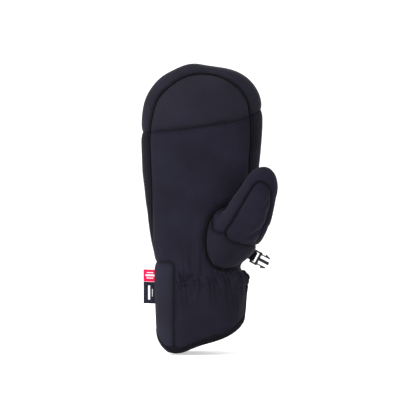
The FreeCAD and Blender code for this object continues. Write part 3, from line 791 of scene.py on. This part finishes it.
def thumb_relief(cloth):
    place = cloth.data["rest"]
    lift = 0.8 * noise(place, 42) + 0.35 * noise(place, 15)
    front = np.sin(cloth.data["angle"][:, 0]) < 0.15
    for start, end, width, depth in (
        ((68.0, 133.0), (47.0, 120.5), 2.2, 2.6),
        ((70.0, 140.0), (62.0, 131.0), 1.6, 1.3),
        ((72.0, 163.0), (58.5, 147.0), 2.2, 1.1),
        ((70.5, 152.0), (67.0, 141.0), 2.0, 1.6),
        ((60.0, 117.0), (50.0, 116.0), 2.0, 1.0),
        ((40.0, 121.0), (46.0, 134.0), 3.0, 0.6),
        ((46.0, 97.0), (38.0, 93.0), 1.6, 1.2),
        ((16.0, 112.0), (22.0, 96.0), 5.0, 0.5),
    ):
        lift += crease(place, start, end, width, depth) * front
    for start, end, depth in (((60.0, 141.0), (52.0, 133.0), 0.8), ((66.0, 168.0), (63.0, 152.0), 0.7)):
        lift -= crease(place, start, end, 4.0, depth) * front
    return lift * ramp(cloth.data["share"][:, 0], 0.02, 0.14)


def sew(cloth, relief, names, puff=0.7):
    """Raises the folds, then draws the cloth down along its seams and lets it puff between them. It also records
    where the fabric gets painted shade along its seams, every seam but the cuff's.
    """
    lift = relief(cloth)
    nearest = np.full(len(cloth.co), FAR)
    shaded_seam_distance = np.full(len(cloth.co), FAR)
    for seam_name in names:
        distance = seam_distance(cloth, seam_name)
        depth = SEAM_DEPTH[seam_name]
        lift = lift - depth * bell(distance, 1.5) - 0.45 * depth * bell(distance, 4.5)
        nearest = np.minimum(nearest, distance)
        if seam_name != "cuff":
            shaded_seam_distance = np.minimum(shaded_seam_distance, distance)
    lift += puff * ramp(nearest, 0, 9)
    # The seam mark is painted shade: the fabric darkens near every seam but the cuff's.
    cloth.data["seam"] = (bell(shaded_seam_distance, 0.9) + 0.35 * bell(shaded_seam_distance, 3.2))[:, None] / 1.35
    cloth.co = cloth.co + cloth.data["out"] * lift[:, None]
    return cloth


HAND_SEAMS = ("palm", "back", "tip", "cap", "cuff_side", "cuff", "root")
THUMB_SEAMS = ("root", "gusset", "thumb_front")
LOOK = {
    "palm_panel": (PALM, "shell_fabric"),
    "fingertip_patch": (SMOOTH, "smooth_fabric"),
    "finger_cap": (SMOOTH, "smooth_fabric"),
    "pinky_sidewall": (SIDE, "side_fabric"),
    "index_sidewall": (SIDE, "side_fabric"),
    "back_panel": (PALM, "shell_fabric"),
    "cuff_side_panel": (CUFF_SIDE, "side_fabric"),
    "cuff_palm_panel": (CUFF, "cuff_fabric"),
    "cuff_back_panel": (CUFF, "cuff_fabric"),
    "thumb_gusset": (GUSSET, "shell_fabric"),
    "thumb_pad_panel": (THUMB, "shell_fabric"),
    "thumb_back_panel": (THUMB, "side_fabric"),
}
STANDS_FOR = {
    "palm_panel": ("insulation_palm", "waterproof_insert"),
    "back_panel": ("insulation_back",),
    "cuff_palm_panel": ("wrist_elastic",),
    "thumb_back_panel": ("insulation_thumb", "insert_thumb"),
}


def follow(piece, on_thumb):
    """A piece near the thumb's root has its transform baked into its mesh and no parent, and any other piece
    stays with the hand.
    """
    if on_thumb:
        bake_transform(piece)
    else:
        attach(piece, "hand")


for name, cloth in panels.items():
    on_thumb = name.startswith("thumb")
    sew(cloth, thumb_relief if on_thumb else hand_relief, THUMB_SEAMS if on_thumb else HAND_SEAMS)
    material, slot = LOOK[name]
    piece = sewn_piece(f"{name}_cloth", cloth, 0.9, material)
    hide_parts(name, *STANDS_FOR.get(name, ()))
    follow(piece, on_thumb)


class Skin:
    """The sewn surface, found again from a place on the plain form."""

    def __init__(self, names, facing=None):
        cloths = [panels[name] for name in names]
        rest_co = np.concatenate([c.data["rest"] for c in cloths])
        self.co = np.concatenate([c.co for c in cloths])
        self.out = np.concatenate([c.data["out"] for c in cloths])
        self.flat = facing is not None
        if self.flat:
            keep = self.out[:, 1] * facing > 0.05
            rest_co, self.co, self.out = rest_co[keep] * [1, 0, 1], self.co[keep], self.out[keep]
        self.tree = search_tree(rest_co.tolist())

    def at(self, places, lift=0.0):
        """Places on the sewn surface and the outward directions there."""
        co, out = [], []
        for place in np.asarray(places, float):
            place = (place[0], 0, place[-1]) if self.flat else place
            found = self.tree.find_n(place, 4)
            share = np.array([1 / (f[2] + 0.15) for f in found])
            share = (share / share.sum())[:, None]
            index = [f[1] for f in found]
            co.append((self.co[index] * share).sum(0))
            out.append((self.out[index] * share).sum(0))
        out = unit(np.array(out))
        return np.array(co) + out * lift, out


HAND_PIECES = [name for name in panels if not name.startswith("thumb")]
hand_skin = Skin(HAND_PIECES)
palm_skin = Skin(HAND_PIECES, facing=-1)
THUMB_PIECES = [name for name in panels if name.startswith("thumb")]
thumb_skin = Skin(THUMB_PIECES)
thumb_face = Skin(THUMB_PIECES, facing=-1)


def softened(path, rounds=3):
    for _ in range(rounds):
        path = path.copy()
        path[1:-1] = (path[:-2] + 2 * path[1:-1] + path[2:]) / 4
    return path


def evenly(path, step):
    """The same path with its points a fixed step apart."""
    climb = way_along(path)
    wanted = np.arange(0, climb[-1], step)
    return np.stack([np.interp(wanted, climb, path[:, k]) for k in range(path.shape[1])], 1)


def tube(name, path, radius, material, sides=12):
    """A round cord along a path, with rounded ends."""
    ahead = unit(np.gradient(path, axis=0))
    side = unit(np.cross(ahead, [0.0, 0.0, 1.0]))
    over = np.cross(side, ahead)
    end = np.minimum(np.arange(len(path)), np.arange(len(path))[::-1]) / 2.0
    size = radius * np.sqrt(1 - (1 - np.clip(end, 0.04, 1)) ** 2)
    turn = np.linspace(0, 2 * math.pi, sides, endpoint=False)
    ring = np.cos(turn)[None, :, None] * side[:, None] + np.sin(turn)[None, :, None] * over[:, None]
    co = path[:, None] + ring * size[:, None, None]
    climb = way_along(path)
    weave = np.stack(np.broadcast_arrays(turn[None, :] * radius, climb[:, None]), -1)
    cord = Cloth.grid(co, True, {"weave": weave})
    last = len(cord.co) - sides
    caps = [(0, n + 1, n) for n in range(1, sides - 1)]
    caps += [(last, last + n, last + n + 1) for n in range(1, sides - 1)]
    made = mesh_object(name, cord.co, np.concatenate([cord.tris, np.array(caps)]), cord.data["weave"])
    return dress(made, material)


def stitches(name, paths, step=3.1, length=2.2, radius=0.3):
    """Rows of topstitching: a short thread for every stitch. Each path is places and outward directions."""
    co, faces, weave = [], [], []
    for places, outs in paths:
        both = evenly(np.concatenate([places, outs], 1), step)
        spots, ups = both[:, :3], both[:, 3:]
        ahead = unit(np.gradient(spots, axis=0))
        side = unit(np.cross(ahead, ups))
        for spot, up, forward, across in zip(spots, ups, ahead, side):
            first = len(co)
            for along, girth, sink in ((-0.5, 0.35, 0.35), (-0.28, 1, 0.0), (0.28, 1, 0.0), (0.5, 0.35, 0.35)):
                for k in range(6):
                    turn = k * math.pi / 3
                    ring = across * math.cos(turn) + up * math.sin(turn)
                    co.append(spot + forward * along * length + ring * radius * girth - up * sink * radius)
                    weave.append((turn * radius, along * length))
            for ring_no in range(3):
                for k in range(6):
                    a, b = first + ring_no * 6 + k, first + ring_no * 6 + (k + 1) % 6
                    faces.append((a, a + 6, b + 6, b))
            faces.append(tuple(first + k for k in range(6)))
            faces.append(tuple(first + 18 + k for k in range(5, -1, -1)))
    return dress(mesh_object(name, co, faces, weave), THREAD)


# The cord in the seam that rims the palm.
line_tree = search_tree((seams["palm"] * [1, 0, 1]).tolist())
PIPING_START = 106  # the height where the cord comes out of the cuff's gathers
rim = []
for x, z in evenly(PALM_LINE, 1.4):
    _, n, gap = line_tree.find((x, 0, z))
    if gap < 1.0 and z > PIPING_START:
        rim.append(seams["palm"][n])
rim = softened(np.array(rim), 4)
root_now = root_outline()
keep = [np.linalg.norm(root_now - place, axis=1).min() > 3.0 for place in rim]
rim = rim[np.array(keep)]
cord_path, _ = hand_skin.at(rim, 0.75)
cord = tube("palm_piping_cord", softened(cord_path, 3), 1.35, CORD)
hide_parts("palm_piping")
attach(cord, "hand")

# A finer cord in the seam where the gusset joins the hand.
turn = np.linspace(0, 2 * math.pi, 150)
ring_path, _ = hand_skin.at(root_seam_points(turn), 0.5)
ring_path[-1] = ring_path[0]
ring_path = softened(np.concatenate([ring_path, ring_path[1:4]]), 4)[1:-1]
ring_cord = tube("gusset_cord", ring_path, 1.4, CORD)
follow(ring_cord, True)

# The tape that binds the hem and the slit.
r = skin.data["rest"]
_, tape, _ = skin.split(r[:, 2] - HEM_LINE(r[:, 0]) + 0.9)


def slit_distance(place):
    past_side = np.maximum(np.abs(place[:, 1]) - SLIT_EDGE(place[:, 2]), 0)
    past_top = np.maximum(place[:, 2] - SLIT_TOP, 0)
    inside_by = np.maximum(np.abs(place[:, 1]) - SLIT_EDGE(place[:, 2]), place[:, 2] - SLIT_TOP)
    out = np.where(inside_by > 0, np.hypot(past_side, past_top), inside_by)
    return np.where(place[:, 0] > 0, out, FAR)


def binding_way(place):
    """How far across the binding a place is, from 0 at the bound edge to 1 at the tape's far edge."""
    hem_way = (place[:, 2] - HEM_LINE(place[:, 0])) / BINDING_WIDTH
    return np.minimum(hem_way, slit_distance(place) / SLIT_BINDING_WIDTH)


_, tape, _ = tape.split(slit_distance(tape.data["rest"]) + 0.5)
tape, _, _ = tape.split(binding_way(tape.data["rest"]) - 1)
r = tape.data["rest"]
way = np.clip(binding_way(r), 0, 1)
pucker = 0.14 * np.sin(tape.data["weave"][:, 0] * 2 * math.pi / 3.1) * bell(way - 0.8, 0.3)
crown = 0.45 + 0.95 * (1 - np.abs(2 * way - 1) ** 3) + pucker
follows = hand_relief(tape) * ramp(r[:, 2], 50, 70)
tape.co = tape.co + tape.data["out"] * (crown + follows)[:, None]
binding = sewn_piece("hem_binding_tape", tape, 3.6, TAPE)
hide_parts("hem_binding")
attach(binding, "hand")

# The fold of cloth across the slit.
r = skin_hemmed.data["rest"]
fold, _, _ = skin_hemmed.split(slit_distance(r) - 1.2)
r = fold.data["rest"]
depth = 1.6 + 2.4 * (1 - np.clip(np.abs(r[:, 1]) / (SLIT_EDGE(r[:, 2]) + 1.2), 0, 1) ** 2)
fold.co = fold.co - fold.data["out"] * (depth + 0.3 * noise(r, 5))[:, None]
slit_fold = sewn_piece("slit_gusset_fold", fold, 0.8, RIB)
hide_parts("cuff_slit_gusset")
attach(slit_fold, "hand")

# The lining, seen through the opening.
lining = hand_cloth(150, 110, 30, lift=-6.6, bottom=-4.0)
_, lining, _ = lining.split(lining.data["rest"][:, 2] - HEM_LINE(lining.data["rest"][:, 0]) - 3.5)
_, lining, _ = lining.split(slit_distance(lining.data["rest"]) - 2.0)
lining.co = lining.co + lining.data["out"] * (0.8 * noise(lining.data["rest"], 14))[:, None]
lining_front, lining_rear, _ = lining.split(lining.data["rest"][:, 1])
for name, cloth in (("lining_palm", lining_front), ("lining_back", lining_rear)):
    piece = sewn_piece(f"{name}_fleece", cloth, 0.9, FLEECE)
    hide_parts(name)
    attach(piece, "hand")
thumb_lining = thumb_cloth(72, 24, 18, lift=-6.6)
piece = sewn_piece("lining_thumb_fleece", thumb_lining, 0.9, FLEECE)
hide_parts("lining_thumb")
follow(piece, True)

# Topstitching.
row = np.linspace(-50, 50, 90)
tip_row = palm_skin.at(np.stack([row, row, TIP_SEAM(row) - 2.4], 1), 0.12)
climb = np.linspace(9, 64, 60)
side_row = palm_skin.at(np.stack([np.full(60, CUFF_SIDE_X - 2.0), climb, climb], 1), 0.12)
around = np.linspace(0.16, 2 * math.pi - 0.16, 260)
level = np.full(260, 10.0)
for _ in range(6):
    level = HEM_LINE(hand_point(around, level)[:, 0]) + 4.9
hem_places = hand_point(around, level, 1.5)
hem_outs = hand_point(around, level, 2.5) - hem_places
hem_row = (hem_places, unit(hem_outs))
made = stitches("shell_stitching", [tip_row, side_row])
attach(made, "hand")
made = stitches("binding_stitching", [hem_row])
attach(made, "hand")
face = [(22.6, 127.0), (31.1, 140.6), (39.7, 154.9), (46.6, 167.2), (52.6, 176.4), (58.2, 180.4), (63.6, 180.4)]
face = softened(evenly(smooth_path(face), 1.5), 2)
front_row = thumb_face.at(np.stack([face[:, 0], face[:, 0], face[:, 1]], 1), 0.12)
ring = np.linspace(math.radians(60), math.radians(330), 120)
seam_ring = root_seam_points(ring, -0.3)
inner_ring = thumb_ring(ring, np.full(120, THUMB_START))
toward = unit(inner_ring - seam_ring)
root_row = thumb_skin.at(seam_ring + toward * 2.6, 0.12)
made = stitches("thumb_stitching", [front_row, root_row])
follow(made, True)

# Labels: two woven strips folded in half and caught in the outer seam of the cuff.


LABEL_ROOT, LABEL_OUTER = -45.0, -60.4
LABEL_LEAN = -0.035
LABEL_GAP = 0.75
STRIPE_OUT = 0.84


def label_wave(x, z):
    """How far a label bends out of its own plane, more towards its free end."""
    free = (LABEL_ROOT - x) / (LABEL_ROOT - LABEL_OUTER)
    return free**2 * np.sin((z - 50) / 16 + 0.4)


def folded_label(name, low, high, material):
    """A U of satin ribbon standing out of the seam towards -X."""
    flat_run = np.linspace(LABEL_ROOT, LABEL_OUTER + LABEL_GAP, 16)
    turn = np.linspace(0, math.pi, 9)[1:-1]
    plan = [(x, -LABEL_GAP) for x in flat_run]
    plan += [(LABEL_OUTER + LABEL_GAP * (1 - math.sin(a)), -LABEL_GAP * math.cos(a)) for a in turn]
    plan += [(x, LABEL_GAP) for x in flat_run[::-1]]
    plan = np.array(plan)
    heights = np.linspace(low, high, 18)[:, None]
    co = np.zeros((len(heights), len(plan), 3))
    co[..., 0] = plan[:, 0]
    co[..., 1] = plan[:, 1] + label_wave(co[..., 0], heights)
    co[..., 2] = heights + LABEL_LEAN * (co[..., 0] - LABEL_ROOT)
    weave = np.stack(np.broadcast_arrays(way_along(plan)[None, :], heights), -1)
    ribbon = Cloth.grid(co, False, {"weave": weave, "rest": co})
    ribbon.facing_out()
    made = sewn_piece(f"{name}_ribbon", ribbon, 0.45, material)
    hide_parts(name)
    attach(made, "hand")


def woven_bar(name, x0, x1, z0, z1):
    """A plain raised stripe woven into both faces of a label."""
    co, faces, weave = [], [], []
    for facing in (-1, 1):
        first = len(co)
        for z in np.linspace(z0, z1, 5):
            for x in np.linspace(x0, x1, 9):
                co.append((x, facing * STRIPE_OUT + label_wave(x, z), z + LABEL_LEAN * (x - LABEL_ROOT)))
                weave.append((x, z))
        for i in range(4):
            for j in range(8):
                a = first + i * 9 + j
                faces += [(a, a + 1, a + 10), (a, a + 10, a + 9)]
    made = dress(mesh_object(name, co, faces, weave), LABEL_WHITE)
    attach(made, "hand")


folded_label("label_red", 73.6, 86.2, LABEL_RED)
folded_label("label_dark", 50.6, 73.3, LABEL_DARK)
for label, stripe, x0, x1, z0, z1 in (
    ("label_red", "low", -57.0, -50.2, 76.8, 77.8),
    ("label_red", "middle", -58.4, -48.8, 79.2, 81.2),
    ("label_red", "high", -57.0, -50.2, 82.6, 83.6),
    ("label_dark", "wide", -55.6, -53.4, 54.6, 69.6),
    ("label_dark", "thin", -51.4, -50.8, 58.0, 66.0),
):
    woven_bar(f"{label}_stripe_{stripe}", x0, x1, z0, z1)

# The webbing: a strap folded round the clip's bar, its ends sewn into the seam behind it.
CLIP_MIDDLE = np.array([55.0, 8.0, 100.5])
SLOPE = math.radians(27.5)


def clip_frame_point(along, across, through):
    """A place in the clip's own frame: along it to the prongs, across it, and out through the back of it."""
    x = along * math.cos(SLOPE) + across * math.sin(SLOPE)
    z = -along * math.sin(SLOPE) + across * math.cos(SLOPE)
    return np.stack(np.broadcast_arrays(x, -through, z), -1) + CLIP_MIDDLE


STRAP_BEND = 2.75
STRAP_END = -11.5
turn = np.linspace(-0.62 * math.pi, 0.62 * math.pi, 24)
bend_plan = STRAP_BEND * np.stack([np.cos(turn), np.sin(turn)], 1)
tail = np.linspace(STRAP_END, bend_plan[0, 0] - 0.6, 12)
sink = np.interp(tail, [STRAP_END, -4.2, tail[-1]], [-0.55, -0.62, bend_plan[0, 1] + 0.25])
lower = np.stack([tail, sink], 1)
strap_plan = np.concatenate([lower, bend_plan, (lower * [1, -1])[::-1]])
across = np.linspace(-5, 5, 15)
strap_co = clip_frame_point(strap_plan[None, :, 0], across[:, None], strap_plan[None, :, 1])
climb = way_along(strap_plan)
strap_weave = np.stack(np.broadcast_arrays(across[:, None], climb[None, :]), -1)
strap = Cloth.grid(strap_co, False, {"weave": strap_weave, "rest": strap_co})
strap.facing_out()
ribs = 0.1 * np.sin(strap.data["weave"][:, 0] * 2 * math.pi / 1.3)
strap.co = strap.co + strap.data["out"] * ribs[:, None]
webbing = sewn_piece("clip_webbing_strap", strap, 0.85, WEBBING)
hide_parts("clip_webbing")
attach(webbing, "hand")

for name in ("clip_frame", "latch_arm_upper", "latch_arm_lower"):
    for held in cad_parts[name].material_slots:
        held.material = PLASTIC

# -------------------- stage

FLOOR_RADIUS, FLOOR_BEND, WALL_TOP = 3400, 500, 5000
FLOOR_LEVEL = -1.2
BACKDROP_SIDES = 64
bowl = [(0, 0), (1200, 0), (FLOOR_RADIUS, 0)]
for a in np.linspace(0.15, math.pi / 2, 12):
    bowl.append((FLOOR_RADIUS + FLOOR_BEND * math.sin(a), FLOOR_BEND - FLOOR_BEND * math.cos(a)))
bowl.append((FLOOR_RADIUS + FLOOR_BEND, WALL_TOP))
backdrop_turn = np.linspace(0, 2 * math.pi, BACKDROP_SIDES, endpoint=False)
backdrop_co = [(r * math.cos(t), r * math.sin(t), z + FLOOR_LEVEL) for r, z in bowl for t in backdrop_turn]
backdrop_faces = []
for low in range(0, (len(bowl) - 1) * BACKDROP_SIDES, BACKDROP_SIDES):
    for n in range(BACKDROP_SIDES):
        m = (n + 1) % BACKDROP_SIDES
        high = low + BACKDROP_SIDES
        quad = (low + n, high + n, high + m, low + m)
        backdrop_faces.append(quad if low else quad[:3])
backdrop = mesh_object("backdrop", backdrop_co, backdrop_faces)
white, _, white_main = shader("backdrop_white", 0.9)
white_main.inputs["Base Color"].default_value = (0.75, 0.75, 0.75, 1)
white_main.inputs["Emission Color"].default_value = (1, 1, 1, 1)
white_main.inputs["Emission Strength"].default_value = 0.45
backdrop.data.materials.append(white)


def area_light(name, place, target, width, power):
    light = bpy.data.lights.new(name, "AREA")
    light.shape = "DISK"
    light.size = width
    light.energy = power
    made = bpy.data.objects.new(name, light)
    bpy.context.scene.collection.objects.link(made)
    made.location = place
    made.rotation_euler = (Vector(target) - Vector(place)).to_track_quat("-Z", "Y").to_euler()


middle = (0.007, 0, 0.15)
area_light("key", (-1.3, -0.8, 1.0), middle, 0.4, 26)
area_light("fill", (1.3, -1.3, 0.4), middle, 1.0, 4)
area_light("top", (-0.1, -0.2, 1.7), middle, 0.7, 9)
area_light("rear", (0.4, 1.4, 0.9), middle, 1.0, 8)

world = bpy.data.worlds.new("studio")
bpy.context.scene.world = world
world.use_nodes = True
sky = world.node_tree.nodes["Background"]
sky.inputs["Color"].default_value = (1, 1, 1, 1)
sky.inputs["Strength"].default_value = 0.3

camera_data = bpy.data.cameras.new("camera")
camera_data.lens = 206
camera_data.sensor_width = 36
camera = bpy.data.objects.new("camera", camera_data)
bpy.context.scene.collection.objects.link(camera)
aim = Vector((0.00735, 0.0, 0.1512))
distance = 0.4368 * camera_data.lens / camera_data.sensor_width
elevation = math.radians(0.8)
camera.location = aim + Vector((0, -distance * math.cos(elevation), distance * math.sin(elevation)))
camera.rotation_euler = (aim - camera.location).to_track_quat("-Z", "Y").to_euler()
bpy.context.scene.camera = camera
bpy.context.scene.view_settings.view_transform = "Standard"
